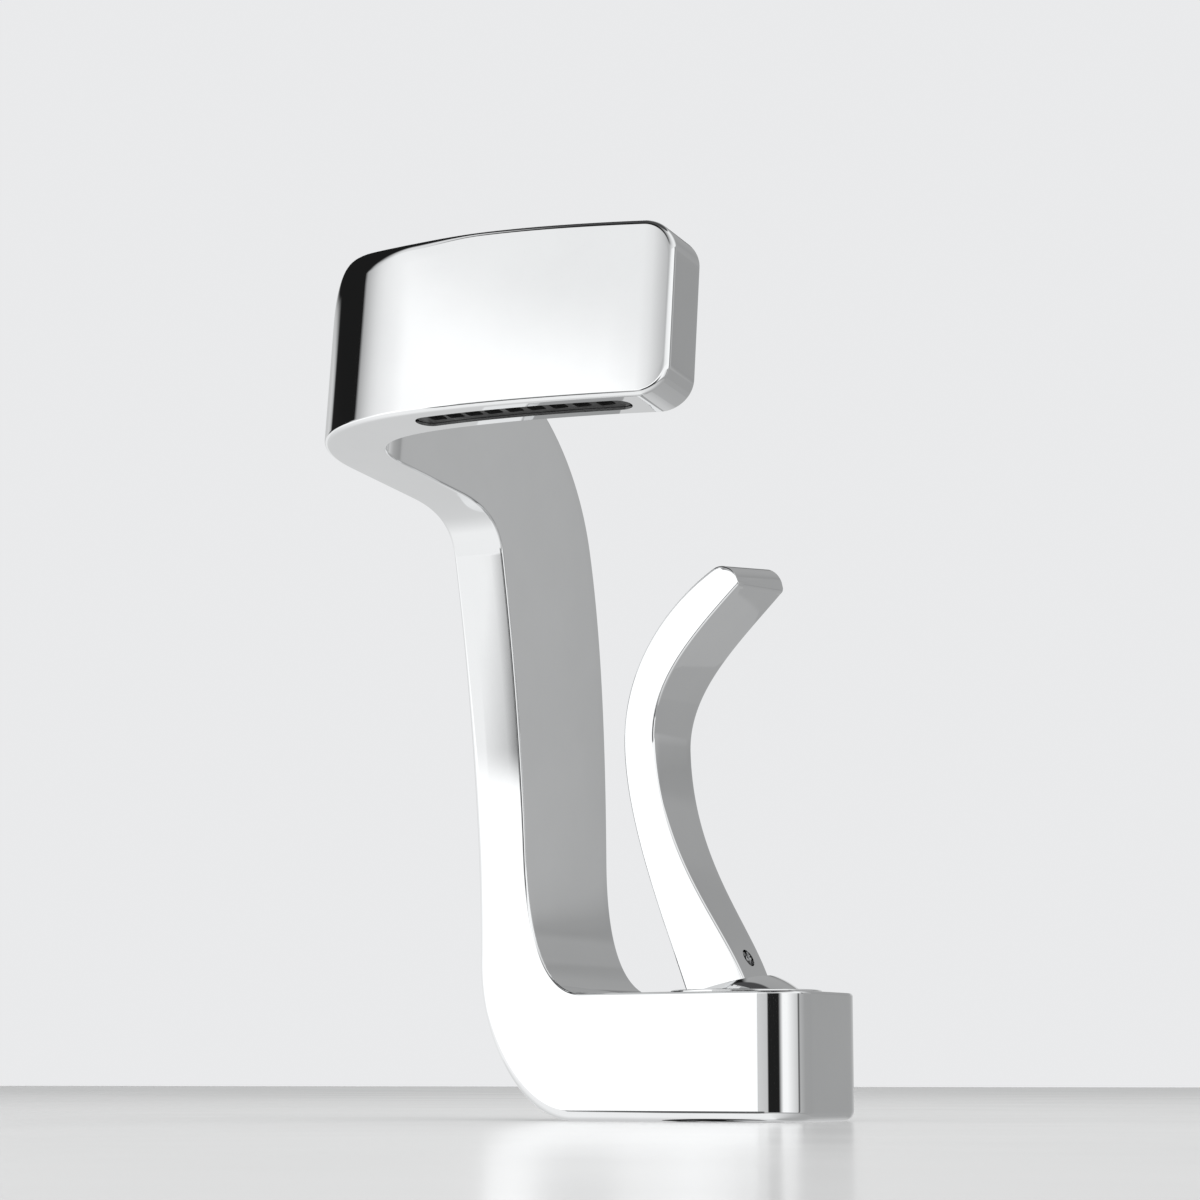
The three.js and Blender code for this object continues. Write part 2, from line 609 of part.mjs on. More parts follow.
function bonnetRing() {
  const clear = BALL_R + 0.35;
  const low = RING_SEAT_Z + GAP;
  const points = [[RING_R, low], [RING_R, RING_TOP - 0.3], [RING_R - 0.3, RING_TOP]];
  for (let i = 0; i <= 5; i += 1) {
    const z = THREE.MathUtils.lerp(RING_TOP, low, i / 5);
    points.push([Math.sqrt(clear ** 2 - (z - PIVOT_Z) ** 2), z]);
  }
  return onAxis(turned(points, 64));
}

function retainingNut() {
  const ring = washer(12.9, NUT_BORE_R - GAP - 0.1, 30.3, 34.6);
  const notches = range(4, (t) => t).map((t) => box([10, -2, 32.6], [22, 2, 36]).rotateZ(t * 1.5 * Math.PI));
  return onAxis(cut(ring, notches));
}

function cartridgeHousing() {
  const shell = turned([
    [13.6, 10.3], [17.5, 10.3], [17.5, 20.8], [16.3, 20.8], [16.3, 22.6], [17.5, 22.6], [17.5, 29.9],
    [12.4, 29.9], [12.4, 27.3], [13.6, 27.3],
  ]);
  const outletWindow = box([-20, -7, 13.5], [-10, 7, 19]);
  return onAxis(cut(shell, [outletWindow]));
}

const housingSeal = () => onAxis(washer(16.6, 18, 21.1, 22.3));

function cartridgeBase() {
  const holes = [-1, 1].flatMap((side) => [
    post(INLET.bore, 0, 20, INLET.x, side * INLET.y, 16),
    post(4.6, 0, 8.8, INLET.x, side * INLET.y, 20),
  ]);
  return cut(post(17.5, FLOOR_Z + GAP, 10, AXIS_X, 0, 40), holes);
}

function inletSeal(side) {
  return washer(3, 4.3, FLOOR_Z + GAP, 8.5, 20).translate(INLET.x, side * INLET.y, 0);
}

function fixedDisc() {
  const ports = [-1, 1].map((side) => post(INLET.bore, 5, 20, INLET.x, side * INLET.y, 16));
  const mixed = box([AXIS_X + 3, -3, 5], [AXIS_X + 8, 3, 20]);
  return cut(post(12.9, 10.3, 12, AXIS_X, 0, 36), [...ports, mixed]);
}

// The moving disc and its carrier sit off the axis by the swing of the stem's lower ball.
const CARRIER_X = AXIS_X - BALL_DROP * Math.sin(CLOSED_LEAN);

function movingDisc() {
  const pocket = box([CARRIER_X - 5, -6, 11], [CARRIER_X + 5, 6, 13]);
  return cut(post(9.8, 12.3, 13.9, CARRIER_X, 0, 36), [pocket]);
}

const discCarrier = () => cut(
  post(9.8, 14.2, 16.3, CARRIER_X, 0, 36), [post(2.1, 10, 20, CARRIER_X, 0, 20)]);

function cartridgeSpindle() {
  const body = turned([[0, 16.8], [13.2, 16.8], [13.2, 26.9], [12, 26.9], [12, 32], [0, 32]]);
  const slot = box([-8.2, -4.2, 10], [6.4, 4.2, 40]);
  const pinHole = new THREE.CylinderGeometry(1.8, 1.8, 40, 16).translate(0, 0, PIVOT_Z);
  return onAxis(cut(body, [slot, pinHole]));
}

const pivotPin = () => new THREE.CylinderGeometry(1.5, 1.5, 24, 20).translate(AXIS_X, 0, PIVOT_Z);

// ---- clamping set under the deck ----------------------------------------------------------
const WASHER_TOP = -DECK - 0.2;
const PLATE_TOP = WASHER_TOP - CLAMP.washer - 0.5;
const NUT_TOP = PLATE_TOP - CLAMP.plate - 0.7;

const mountingStud = () => post(STUD.r, STUD.bottom, STUD.depth - GAP, STUD.x, 0, 24);

/** Horseshoe washer: a round plate with a mouth for the supply tails and a hole for the stud. */
function horseshoe(outer, thickness, top) {
  const disc = post(outer, top - thickness, top, CLAMP.x, 0, 40);
  const mouth = box([CLAMP.x, -CLAMP.mouth, top - 20], [60, CLAMP.mouth, top + 20]);
  return cut(disc, [mouth, post(STUD.hole, top - 20, top + 20, STUD.x, 0, 24)]);
}

function hexNut() {
  const shape = hexagon(new THREE.Shape(), NUT.r);
  shape.holes.push(new THREE.Path().absarc(0, 0, STUD.hole, 0, 2 * Math.PI, true));
  return plate(shape, NUT_TOP - NUT.high, NUT_TOP, 10).translate(STUD.x, 0, 0);
}

// ---- assembly -----------------------------------------------------------------------------
const faucet = new THREE.Group();
faucet.name = 'basin_mixer';

function add(name, geometry, material) {
  const mesh = new THREE.Mesh(geometry, material);
  mesh.name = name;
  faucet.add(mesh);
}

add('body_casting', bodyCasting(), chrome());
add('base_gasket', plate(gasketShape(GAP), GAP, GASKET.depth - GAP, 4), rubber());
add('outlet_insert', outletInsert(), plastic(0x2c2e31));
add('outlet_seal', outletSeal(), rubber());
add('bonnet_ring', bonnetRing(), chrome());
add('retaining_nut', retainingNut(), brass());
add('cartridge_housing', cartridgeHousing(), plastic(0xd9dbdc));
add('housing_seal', housingSeal(), rubber());
add('cartridge_base', cartridgeBase(), plastic(0xd9dbdc));
add('inlet_seal_hot', inletSeal(1), rubber());
add('inlet_seal_cold', inletSeal(-1), rubber());
add('fixed_disc', fixedDisc(), ceramic());
add('mounting_stud', mountingStud(), steel());
add('deck_washer', horseshoe(CLAMP.washerR, CLAMP.washer, WASHER_TOP), rubber());
add('clamp_plate', horseshoe(CLAMP.plateR, CLAMP.plate, PLATE_TOP), steel());
add('clamp_nut', hexNut(), brass());
add('cartridge_spindle', cartridgeSpindle(), plastic(0x3b6ea8));
add('pivot_pin', pivotPin(), steel());
add('disc_carrier', discCarrier(), plastic(0xd9dbdc));
add('moving_disc', movingDisc(), ceramic());
add('lever_stem', leverStem(), brass());
add('lever', lever(), chrome());
add('set_screw', setScrew(), steel());
add('ball_cap', ballCap(), chrome());

export default faucet;
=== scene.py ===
"""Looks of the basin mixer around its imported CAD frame.

Lengths are in millimetres until a mesh is made, which is in metres. Angles are in radians, unless
a comment says degrees.
"""

import json
import math

import bmesh
import bpy
import numpy as np
from mathutils import Matrix, Vector

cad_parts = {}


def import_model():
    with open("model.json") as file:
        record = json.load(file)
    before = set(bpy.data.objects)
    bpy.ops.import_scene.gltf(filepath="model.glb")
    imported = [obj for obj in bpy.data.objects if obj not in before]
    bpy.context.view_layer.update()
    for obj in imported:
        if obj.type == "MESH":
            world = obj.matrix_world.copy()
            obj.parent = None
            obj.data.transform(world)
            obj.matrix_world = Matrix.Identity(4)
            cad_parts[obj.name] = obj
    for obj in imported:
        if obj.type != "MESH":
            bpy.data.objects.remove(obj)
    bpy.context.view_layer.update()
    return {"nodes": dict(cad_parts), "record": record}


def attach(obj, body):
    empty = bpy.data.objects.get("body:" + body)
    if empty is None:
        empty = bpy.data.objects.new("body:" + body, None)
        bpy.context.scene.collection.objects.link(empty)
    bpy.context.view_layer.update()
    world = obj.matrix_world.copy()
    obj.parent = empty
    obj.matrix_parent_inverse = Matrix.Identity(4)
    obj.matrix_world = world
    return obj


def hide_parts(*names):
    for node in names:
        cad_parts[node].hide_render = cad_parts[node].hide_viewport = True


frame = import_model()
MM = 0.001

# ---- frame values ---------------------------------------------------------------------------
HINGE = next(j for j in frame["record"]["behaviour"]["joints"] if j["name"] == "flow_tilt")
AXIS_X, _, PIVOT_Z = (v / MM for v in HINGE["pos_m"])  # the cartridge's axis and the lever's pivot
TILT_HALF = math.radians(HINGE["range_deg"][1] / 2)

# ---- ribbon dimensions, as in the CAD -------------------------------------------------------
WIDTH = 52
HALF = WIDTH / 2
BASE_END = 58
BASE_HEIGHT = 40
BASE_CORNER = 12.5
BASE_FLAT_END = -18
LEFT_FACE = -56
INNER_FACE = -37
BEND_TOP = 85
OUTER_EDGE = 3.5
SLAB_EDGE = 1.6
INNER_EDGE = 0.9
ARM_PITCH = math.radians(6)
ARM_START = np.array((0, -66, 196.2))
SLAB_CORNER = 9.5
SLAB_SLANT = 0.04
SLAB_BEND = 0.012
SLAB_EXTRA = 0.8
SLAB_END_T = 0.882
# Crowns that raise the top edge: the slab's, about its middle, and the fold's.
SLAB_CROWN = 1.2
SLAB_CROWN_X = 5
SLAB_CROWN_REACH = 60
FOLD_CROWN = 2.2
FOLD_CROWN_SKEW = 1.3
# Rounding of the fold's top edge: share of the fold (above 1 is in the slab), depth and width.
FOLD_EDGE = ((0, SLAB_EDGE, SLAB_EDGE), (0.4, 3, 15), (0.75, 3.4, 8), (1, 2.2, 3),
             (1.3, SLAB_EDGE, SLAB_EDGE))

# ---- openings in the body; ring, ball cap, lever and screw ----------------------------------
CLOSED_LEAN = math.radians(-15)
FLOOR_Z = 7
BORE_R = 18.3
NUT_BORE_R = 19.4
NUT_BORE_Z = 24
CAVITY_Z = 31.3
CAVITY_R = 24.3
CAVITY_HALF = 22.9
RING_SEAT_Z = 36.2
RING_R = 24
RING_TOP = BASE_HEIGHT + 0.8
RING_CLEARANCE = 0.35
BALL_R = 27
BALL_WALL = 1.8
BALL_FLAT = 22.2
BALL_HOLE = math.radians(40.6)
BALL_HEM_DROP = 0.1
STEM_HALF = 3.75
STEM_TOP = 34
FOOT_GAP = 0.4
GAP = 0.3
OUTLET = dict(start=0.05, end=0.77, half=4.2)
STUD = dict(x=5.5, r=4, hole=4.3, depth=9, bottom=-62)
INLET = dict(x=25, y=7.5, socket=4.6, depth=4.3, bore=2.75)
GASKET = dict(x=15.5, half_x=34, half_y=21, wall=3, corner=8, depth=1.6)
SCREW_R = 2.6
SCREW_Y = 1.2
SCREW_HEIGHT = 30
SCREW_END = 7.2

# ---- details that only the looks have -------------------------------------------------------
TRIM_EDGE = 0.35
HEX = dict(r=1.5, depth=2)
LEAD_IN = dict(inner=1.45, outer=1.85, half=0.3)
THREAD = dict(pitch=1.25, depth=0.68, crest=0.12, flank=0.7, chamfer=1.0)

# ---- fineness of the meshes -----------------------------------------------------------------
RIBBON_ROWS = dict(base_corner=18, base=8, bend=44, column=24, sweep=40, fold=60, slab=34,
                   slab_corner=20)
RIBBON_DIVISION = dict(across=14, through=4)
RIBBON_EDGE_STEPS = 9
LEVER_ROWS = dict(blade=46, tip=24)
LEVER_DIVISION = dict(across=8, through=5)
LEVER_EDGE_STEPS = 6
OUTLET_POINTS = dict(side=24, cap=17)
CAP_HOLE_POINTS = 60
DOME_ROWS = 40
SIDES = dict(ring=192, ball=192, cavity=160, bore=128, screw=96, screw_hole=64, stud_hole=48,
             socket=48, supply=40, stud=40)
THREAD_ROWS = 8  # per turn
MERGE_DISTANCE = 1e-7  # metres
SMOOTH_ANGLE = 28  # degrees
THREAD_SMOOTH_ANGLE = 40  # degrees
NORMAL_WEIGHT = 60


# ---- curves ---------------------------------------------------------------------------------
def bezier(*points):
    a, b, c, d = (np.array(p, float) for p in points)
    return lambda t: (a * (1 - t) ** 3 + 3 * b * t * (1 - t) ** 2
                      + 3 * c * t * t * (1 - t) + d * t ** 3)


def slope(curve, t):
    step = 1e-4
    low, high = max(0, t - step), min(1, t + step)
    return (curve(high) - curve(low)) / (high - low)


def arm_point(x, along, up):
    s, c = math.sin(ARM_PITCH), math.cos(ARM_PITCH)
    return np.array((x, ARM_START[1] - along * c + up * s, ARM_START[2] + along * s + up * c))


ARM_TOP = arm_point(0, 0, WIDTH)
FRONT_COLUMN = bezier((-HALF, 52), (-26.8, 95), (-33, 140), (-42, 180.5))
BACK_COLUMN = bezier((HALF, 52), (HALF, 100), (25.5, 150), (14.5, 190))
FRONT_SWEEP = bezier((-42, 180.5), (-44, 189.5), (-51, 194.4), ARM_START[1:])
BACK_SWEEP = bezier((14.5, 190), (6, 221), (-22, 243.8), ARM_TOP[1:])
OUTER_BEND = bezier((-22, 0), (-38, 0), (LEFT_FACE, 22), (LEFT_FACE, 50))
INNER_BEND = bezier((-17, BASE_HEIGHT), (-28, BASE_HEIGHT), (INNER_FACE, 52), (INNER_FACE, 85))
OUTER_FOLD = bezier((LEFT_FACE, 36), (LEFT_FACE, 60), (-40, 75.5), (-10, 76.6))
INNER_FOLD = bezier((INNER_FACE, 34), (INNER_FACE, 50), (-30, 58.2), (-8, 59.4))
OUTER_SLAB = bezier((-10, 76.6), (14, 77.5), (47, 73), (77.2, 65.6))
INNER_SLAB = bezier((-8, 59.4), (14, 60.6), (44, 56.4), (73.4, 49.1))


def edge_at(curve, z):
    """Depth (y) of the column's edge at a height; upright below the start of its curve."""
    if z <= curve(0)[1]:
        return curve(0)[0]
    low, high = 0.0, 1.0
    for _ in range(30):
        middle = (low + high) / 2
        if curve(middle)[1] < z:
            low = middle
        else:
            high = middle
    return curve(low)[0]


# ---- stations: outer front, outer back, inner front, inner back -----------------------------
def base_station(x):
    return [np.array(p, float) for p in (
        (x, -HALF, 0), (x, HALF, 0), (x, -HALF, BASE_HEIGHT), (x, HALF, BASE_HEIGHT))]


def bend_station(t):
    """The outer face's bend ends before the inner face's, and runs on upright."""
    share = 0.75
    start = OUTER_BEND(1)[1]
    outer = OUTER_BEND(t / share) if t < share else np.array(
        (LEFT_FACE, start + (t - share) / (1 - share) * (BEND_TOP - start)))
    inner = INNER_BEND(t)
    return [np.array((x, edge_at(curve, z), z)) for x, z in (outer, inner)
            for curve in (FRONT_COLUMN, BACK_COLUMN)]


def upright_station(front, back):
    return [np.array((x, y, z)) for x in (LEFT_FACE, INNER_FACE) for y, z in (front, back)]


def column_station(t):
    places = []
    for curve in (FRONT_COLUMN, BACK_COLUMN):
        z = BEND_TOP + t * (curve(1)[1] - BEND_TOP)
        places.append((edge_at(curve, z), z))
    return upright_station(*places)


def slab_crown(x):
    angle = (x - SLAB_CROWN_X) / SLAB_CROWN_REACH * math.pi / 2
    return SLAB_EXTRA + SLAB_CROWN * max(0, math.cos(angle))


def fold_crown(t):
    return (slab_crown(OUTER_FOLD(1)[0]) * math.sin(t * math.pi / 2)
            + FOLD_CROWN * math.sin(t ** FOLD_CROWN_SKEW * math.pi) ** 2)


def arm_station(outer, inner, crown=0.0):
    return [arm_point(*place, up) for place in (outer, inner) for up in (0, WIDTH + crown)]


def front_share(t):
    return t * (1 - SLAB_SLANT * t)


def slab_station(t):
    outer = OUTER_SLAB(front_share(t))
    return arm_station(outer, INNER_SLAB(t), slab_crown(outer[0]))


def unit(v):
    return v / np.linalg.norm(v)


def even_edges(outer, inner):
    """Fillets (depth, width) of the outer face's front and rear edge and the inner face's edges."""
    return (outer, outer), (outer, outer), (inner, inner)


def fold_edges(share):
    """Edges along the fold and into the slab."""
    front, _, inner = even_edges(SLAB_EDGE, INNER_EDGE)
    place, deep, wide = np.array(FOLD_EDGE).T
    after = int(np.searchsorted(place, share, side="right"))
    if after == len(place):
        return front, (SLAB_EDGE, SLAB_EDGE), inner
    mix = (share - place[after - 1]) / (place[after] - place[after - 1])
    mix = mix * mix * (3 - 2 * mix)
    return front, tuple(v[after - 1] * (1 - mix) + v[after] * mix for v in (deep, wide)), inner


def ring_at(place, edges, steps, corner=None, across=1, through=1):
    """Points round one station with filleted edges. corner = (radius, direction, bend, angle)
    rounds a free end; across and through divide the broad faces and the narrow sides."""
    front_edge, rear_edge, inner_edge = edges

    def column(outer, inner, outer_mate, inner_mate, outer_edge):
        inward = unit(inner - outer)

        def fillet(apex, mate, depthwise, edge, angle):
            deep, wide = edge
            inset = wide * (1 - math.sin(angle))
            point = apex + depthwise * deep * (1 - math.cos(angle))
            widthwise = unit(mate - apex)
            if corner is None:
                return point + widthwise * inset
            radius, direction, bend, turned = corner
            reach = (radius - inset) * math.sin(turned)
            return (point + widthwise * (inset + (radius - inset) * (1 - math.cos(turned)))
                    + direction * reach + inward * bend * reach ** 2 / 2)
        turn = [i / steps * math.pi / 2 for i in range(steps + 1)]
        first = [fillet(outer, outer_mate, inward, outer_edge, a) for a in turn]
        last = [fillet(inner, inner_mate, -inward, inner_edge, a) for a in reversed(turn)]
        between = [first[-1] + (last[0] - first[-1]) * k / through for k in range(1, through)]
        return first + between + last

    outer_front, outer_back, inner_front, inner_back = place
    front = column(outer_front, inner_front, outer_back, inner_back, front_edge)
    rear = column(outer_back, inner_back, outer_front, inner_front, rear_edge)[::-1]
    fill = [k / across for k in range(1, across)]
    inner_face = [front[-1] + (rear[0] - front[-1]) * k for k in fill]
    outer_face = [rear[-1] + (front[0] - rear[-1]) * k for k in fill]
    return front + inner_face + rear + outer_face


def end_rings(place, corner, count, edges, steps, **division):
    """Rings that round off the free end of a bar, for a corner's (radius, direction, bend)."""
    return [ring_at(place, edges, steps, (*corner, k / (count - 1) * math.pi / 2), **division)
            for k in range(count)]


def spread(count, start=0.0, end=1.0):
    """Evenly spaced numbers from start to end, both included."""
    return [start + (end - start) * k / (count - 1) for k in range(count)]


# ---- meshes ---------------------------------------------------------------------------------
def make_object(name, bm):
    bmesh.ops.remove_doubles(bm, verts=bm.verts, dist=MERGE_DISTANCE)
    bmesh.ops.recalc_face_normals(bm, faces=bm.faces)
    mesh = bpy.data.meshes.new(name)
    bm.to_mesh(mesh)
    bm.free()
    obj = bpy.data.objects.new(name, mesh)
    bpy.context.scene.collection.objects.link(obj)
    return obj


def from_rings(name, rings, across=None):
    """Closed body through rings of equal length. The ends are flat faces, or with across set they
    are grids that join the front and rear columns of a ribbon ring."""
    bm = bmesh.new()
    rows = [[bm.verts.new(Vector(p) * MM) for p in ring] for ring in rings]
    count = len(rings[0])
    for first, second in zip(rows, rows[1:]):
        for i in range(count):
            j = (i + 1) % count
            bm.faces.new((first[i], first[j], second[j], second[i]))
    for row in (rows[0], rows[-1]):
        if across is None:
            bm.faces.new(row)
            continue
        half = (count - 2 * (across - 1)) // 2
        front, rear = row[:half], row[half + across - 1:count - (across - 1)][::-1]
        lines = [[front[0], *row[count - (across - 1):][::-1], rear[0]]]
        for k in range(1, half - 1):
            inner = [bm.verts.new(front[k].co.lerp(rear[k].co, j / across))
                     for j in range(1, across)]
            lines.append([front[k], *inner, rear[k]])
        lines.append([front[-1], *row[half:half + across - 1], rear[-1]])
        for first, second in zip(lines, lines[1:]):
            for j in range(across):
                bm.faces.new((first[j], first[j + 1], second[j + 1], second[j]))
    return make_object(name, bm)


def lathe(name, profile, segments, x=0.0, place=None):
    """Solid from a closed (radius, height) profile turned about the upright line at x, then moved
    by a matrix."""
    bm = bmesh.new()
    rows = []
    for k in range(segments):
        angle = 2 * math.pi * k / segments
        c, s = math.cos(angle), math.sin(angle)
        rows.append([bm.verts.new((MM * (x + r * c), MM * (r * s), MM * z)) for r, z in profile])
    for k in range(segments):
        first, second = rows[k], rows[(k + 1) % segments]
        for i in range(len(profile)):
            j = (i + 1) % len(profile)
            if profile[i][0] == 0 and profile[j][0] == 0:
                continue
            bm.faces.new((first[i], first[j], second[j], second[i]))
    bmesh.ops.remove_doubles(bm, verts=bm.verts, dist=MERGE_DISTANCE)
    bmesh.ops.dissolve_degenerate(bm, dist=MERGE_DISTANCE / 10, edges=bm.edges)
    if place is not None:
        bm.transform(place)
    return make_object(name, bm)


def prism(name, outline, low, high, place=None):
    """Upright prism of a plan outline between two heights, then moved by a matrix."""
    bm = bmesh.new()
    bottom = [bm.verts.new((MM * x, MM * y, MM * low)) for x, y in outline]
    top = [bm.verts.new((MM * x, MM * y, MM * high)) for x, y in outline]
    count = len(outline)
    bm.faces.new(bottom[::-1])
    bm.faces.new(top)
    for i in range(count):
        j = (i + 1) % count
        bm.faces.new((bottom[i], bottom[j], top[j], top[i]))
    if place is not None:
        bm.transform(place)
    return make_object(name, bm)


def circle(radius, segments, x=0.0, y=0.0):
    angles = [2 * math.pi * k / segments for k in range(segments)]
    return [(x + radius * math.cos(a), y + radius * math.sin(a)) for a in angles]


def rectangle(left, right, half_y):
    return [(left, -half_y), (right, -half_y), (right, half_y), (left, half_y)]


def rounded_rectangle(x, half_x, half_y, radius):
    steps = 8
    points = []
    for sx, sy, start in ((1, -1, -90), (1, 1, 0), (-1, 1, 90), (-1, -1, 180)):
        for k in range(steps + 1):
            angle = math.radians(start + 90 * k / steps)
            points.append((x + sx * (half_x - radius) + radius * math.cos(angle),
                           sy * (half_y - radius) + radius * math.sin(angle)))
    return points


def boolean(target, tools, operation="DIFFERENCE"):
    """Applies each tool to the target and removes the tools."""
    for tool in tools:
        modifier = target.modifiers.new("cut", "BOOLEAN")
        modifier.object = tool
        modifier.operation = operation
        modifier.solver = "EXACT"
    evaluated = target.evaluated_get(bpy.context.evaluated_depsgraph_get())
    mesh = bpy.data.meshes.new_from_object(evaluated)
    target.modifiers.clear()
    target.data = mesh
    for tool in tools:
        bpy.data.objects.remove(tool)
    return target


def smooth(obj, angle):
    """Smooth shading with edges over an angle in degrees kept sharp, flat faces staying flat."""
    mesh = obj.data
    mesh.shade_smooth()
    mesh.set_sharp_from_angle(angle=math.radians(angle))
    modifier = obj.modifiers.new("normals", "WEIGHTED_NORMAL")
    modifier.keep_sharp = True
    modifier.weight = NORMAL_WEIGHT
    return obj


# ---- materials ------------------------------------------------------------------------------
class Nodes:
    """Short way to build a procedural material on one Principled shader."""

    def __init__(self, name):
        self.material = bpy.data.materials.new(name)
        self.material.use_nodes = True
        self.tree = self.material.node_tree
        self.shader = self.tree.nodes["Principled BSDF"]
        self.place = self.add("ShaderNodeTexCoord").outputs["Object"]

    def add(self, kind, **values):
        node = self.tree.nodes.new(kind)
        for key, value in values.items():
            setattr(node, key, value)
        return node

    def link(self, source, target):
        self.tree.links.new(source, target)

    def noise(self, scale, detail, roughness=0.5, stretch=None):
        node = self.add("ShaderNodeTexNoise")
        node.inputs["Scale"].default_value = scale
        node.inputs["Detail"].default_value = detail
        node.inputs["Roughness"].default_value = roughness
        source = self.place
        if stretch:
            mapping = self.add("ShaderNodeMapping")
            mapping.inputs["Scale"].default_value = stretch
            self.link(source, mapping.inputs["Vector"])
            source = mapping.outputs["Vector"]
        self.link(source, node.inputs["Vector"])
        return node.outputs["Fac"]

    def ramp(self, source, stops):
        node = self.add("ShaderNodeValToRGB")
        elements = node.color_ramp.elements
        while len(elements) < len(stops):
            elements.new(0.5)
        for element, (position, colour) in zip(elements, stops):
            element.position = position
            element.color = (*colour, 1)
        self.link(source, node.inputs["Fac"])
        return node.outputs["Color"]

    def span(self, source, low, high):
        """Spreads the usual range of a noise over low to high."""
        node = self.add("ShaderNodeMapRange")
        for key, value in (("From Min", 0.3), ("From Max", 0.7), ("To Min", low), ("To Max", high)):
            node.inputs[key].default_value = value
        self.link(source, node.inputs["Value"])
        return node.outputs["Result"]

    def bump(self, source, strength, distance):
        node = self.add("ShaderNodeBump")
        node.inputs["Strength"].default_value = strength
        node.inputs["Distance"].default_value = distance
        self.link(source, node.inputs["Height"])
        self.link(node.outputs["Normal"], self.shader.inputs["Normal"])

    def fixed(self, **values):
        for key, value in values.items():
            self.shader.inputs[key.replace("_", " ")].default_value = value


GRAIN_DEPTH = 0.0001  # metres


def grey(value):
    return (value, value, value)


def chrome_material():
    """Bright plating: faint wipe marks and film in the roughness, no visible grain."""
    m = Nodes("chrome")
    m.fixed(Metallic=1.0)
    film = m.noise(scale=38, detail=4, roughness=0.6)
    wipes = m.noise(scale=60, detail=3, roughness=0.55, stretch=(1, 1, 0.25))
    tint = m.ramp(film, ((0.3, (0.875, 0.88, 0.885)), (0.75, (0.905, 0.91, 0.915))))
    m.link(tint, m.shader.inputs["Base Color"])
    m.link(m.span(wipes, low=0.012, high=0.045), m.shader.inputs["Roughness"])
    m.bump(m.noise(scale=240, detail=2), strength=0.02, distance=0.00002)
    return m.material


def metal_material(name, dark, light, smoothest, roughest, scale, grain):
    m = Nodes(name)
    m.fixed(Metallic=1.0)
    tint = m.ramp(m.noise(scale, detail=5, roughness=0.6), ((0.25, dark), (0.8, light)))
    m.link(tint, m.shader.inputs["Base Color"])
    patches = m.noise(scale * 3, detail=4, roughness=0.6)
    m.link(m.span(patches, smoothest, roughest), m.shader.inputs["Roughness"])
    m.bump(m.noise(scale * 12, detail=3, roughness=0.6), grain, GRAIN_DEPTH)
    return m.material


def polymer_material(name, dark, light, smoothest, roughest, scale, grain):
    m = Nodes(name)
    tint = m.ramp(m.noise(scale, detail=5, roughness=0.6), ((0.25, dark), (0.8, light)))
    m.link(tint, m.shader.inputs["Base Color"])
    patches = m.noise(scale * 2.5, detail=3)
    m.link(m.span(patches, smoothest, roughest), m.shader.inputs["Roughness"])
    m.bump(m.noise(scale * 30, detail=2, roughness=0.6), grain, GRAIN_DEPTH)
    return m.material


# Darkest and lightest colour, least and most roughness, noise scale, strength of the grain.
METALS = {
    "brass": ((0.55, 0.4, 0.16), (0.72, 0.55, 0.26), 0.22, 0.45, 120, 0.12),
    "steel": (grey(0.42), grey(0.6), 0.2, 0.4, 130, 0.12),
    "dark_steel": (grey(0.34), grey(0.5), 0.1, 0.22, 150, 0.05),
}
POLYMERS = {
    "black_rubber": (grey(0.012), grey(0.03), 0.6, 0.85, 90, 0.3),
    "dark_plastic": (grey(0.02), grey(0.045), 0.35, 0.6, 70, 0.15),
    "white_plastic": (grey(0.62), grey(0.74), 0.35, 0.55, 80, 0.15),
    "ceramic": ((0.78, 0.75, 0.69), (0.86, 0.83, 0.78), 0.12, 0.3, 110, 0.08),
    "blue_plastic": ((0.03, 0.11, 0.3), (0.05, 0.17, 0.42), 0.35, 0.55, 80, 0.15),
}
MATERIALS = {
    "chrome": chrome_material(),
    **{name: metal_material(name, *values) for name, values in METALS.items()},
    **{name: polymer_material(name, *values) for name, values in POLYMERS.items()},
}


def finish_piece(obj, body, slot, replaced, angle=SMOOTH_ANGLE, weighted=True, material=None):
    obj.data.materials.clear()
    obj.data.materials.append(MATERIALS[material or slot])
    if weighted:
        smooth(obj, angle)
    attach(obj, body)
    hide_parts(replaced)
    return obj


# ---- body -----------------------------------------------------------------------------------
def slab_direction(t):
    """Direction in which the slab's front face runs at one of its stations."""
    tangent = slope(OUTER_SLAB, front_share(t))
    return unit(arm_point(*tangent, 0) - arm_point(0, 0, 0))


